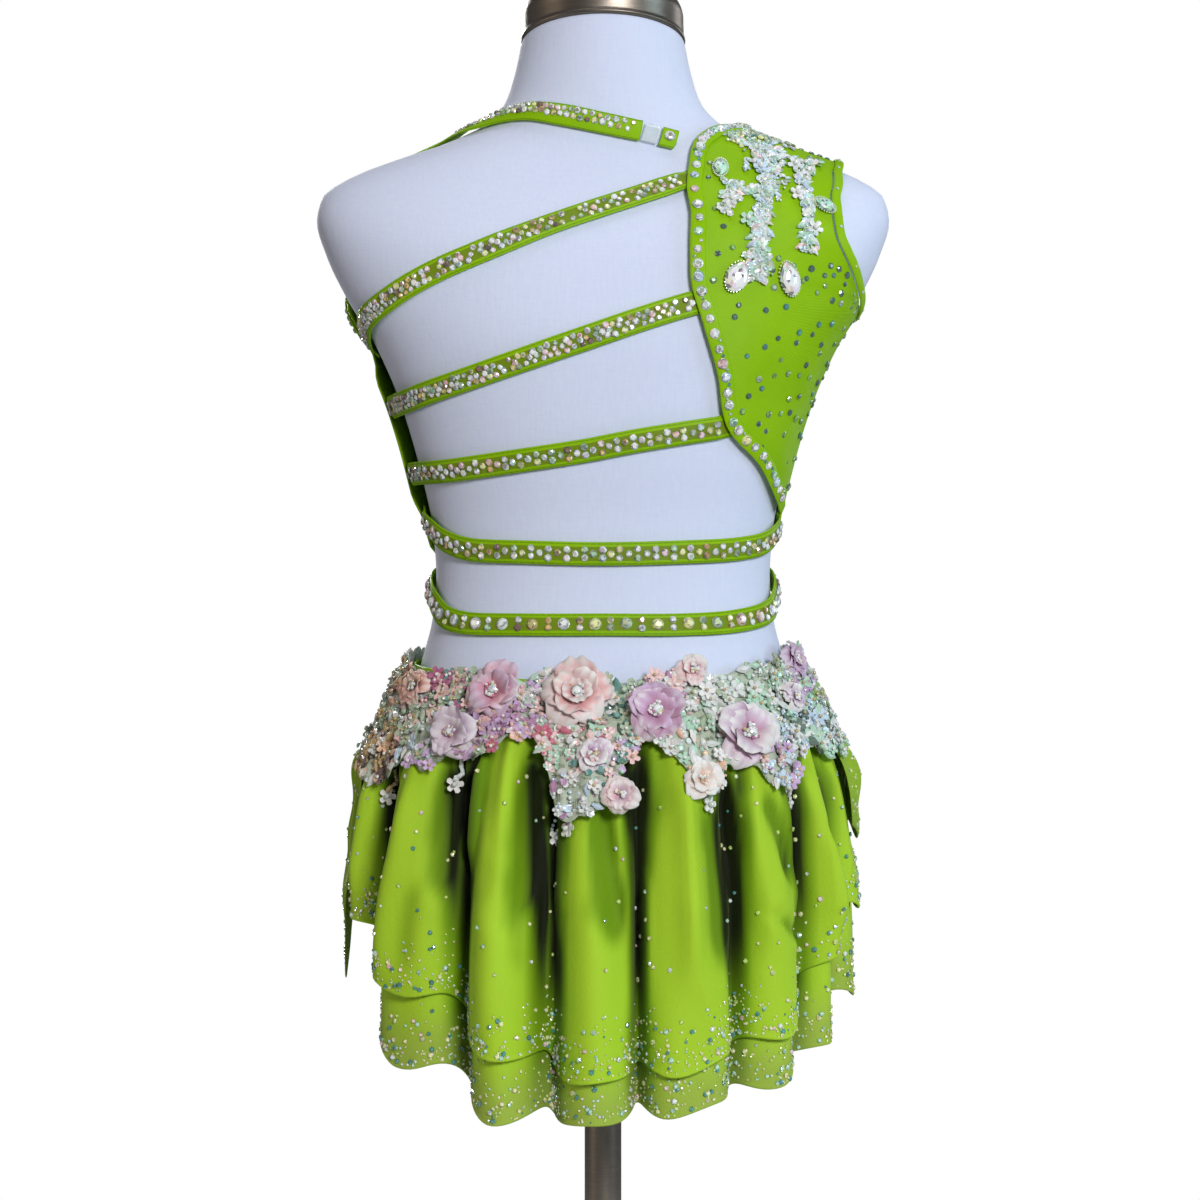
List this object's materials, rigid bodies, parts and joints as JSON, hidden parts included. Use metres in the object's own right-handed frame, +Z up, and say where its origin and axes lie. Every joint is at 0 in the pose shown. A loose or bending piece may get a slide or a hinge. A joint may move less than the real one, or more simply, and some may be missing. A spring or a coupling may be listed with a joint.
{
  "type": "lyrical dance costume on a dress form",
  "caption": "One-shoulder stretch bodice with an open strappy back and a high-low two-layer chiffon skirt trimmed with lace and flowers, worn by a limbless dress form on a stand.",
  "frame": {"origin": "centre of the stand's underside, on the surface it stands on", "axes": "+Z up; -Y is the back of the costume, +Y the way the wearer faces; +X is the wearer's right"},
  "size_m": [0.3416, 0.3, 0.8189],
  "materials": {
    "stretch_jersey": "bright lime stretch jersey, soft sheen",
    "chiffon": "lime chiffon, matte",
    "beaded_lace": "silver-white beaded lace",
    "petal_cloth": "pink and lilac flower cloth",
    "crystal": "faceted and bright",
    "clear_plastic": "clear and glossy",
    "form_cover": "smooth white cover",
    "metal": "satin"
  },
  "bodies": {
    "root": {"stand_base": "metal", "stand_pole": "metal", "dress_form": "form_cover", "neck_cap": "metal", "front_bodice": "stretch_jersey", "back_shoulder_panel": "stretch_jersey", "back_edge_binding": "stretch_jersey", "neckline_binding": "stretch_jersey", "armhole_binding": "stretch_jersey", "strap_1_shoulder_blade": "stretch_jersey", "strap_2_upper_back": "stretch_jersey", "strap_3_mid_back": "stretch_jersey", "strap_4_lower_back": "stretch_jersey", "strap_5_waist": "stretch_jersey", "neck_band": "stretch_jersey", "neck_clasp": "clear_plastic", "neck_tab": "stretch_jersey", "hip_yoke": "stretch_jersey", "upper_tier_back": "chiffon", "upper_tier_front": "chiffon", "lower_tier_back": "chiffon", "lower_tier_front": "chiffon", "left_hip_drape": "chiffon", "right_hip_drape": "chiffon", "shoulder_spray_middle": "beaded_lace", "shoulder_spray_left": "beaded_lace", "shoulder_spray_right": "beaded_lace", "stone_top_left": "crystal", "stone_top_right": "crystal", "stone_drop_left": "crystal", "stone_drop_right": "crystal", "hip_lace_back": "beaded_lace", "hip_lace_front": "beaded_lace", "flower_1": "petal_cloth", "flower_2": "petal_cloth", "flower_3": "petal_cloth", "flower_4": "petal_cloth", "flower_5": "petal_cloth", "flower_6": "petal_cloth", "flower_7": "petal_cloth", "flower_8": "petal_cloth", "flower_9": "petal_cloth", "flower_10": "petal_cloth", "flower_11": "petal_cloth", "flower_12": "petal_cloth", "flower_13": "petal_cloth", "flower_14": "petal_cloth", "flower_15": "petal_cloth", "flower_16": "petal_cloth"}
  },
  "joints": []
}
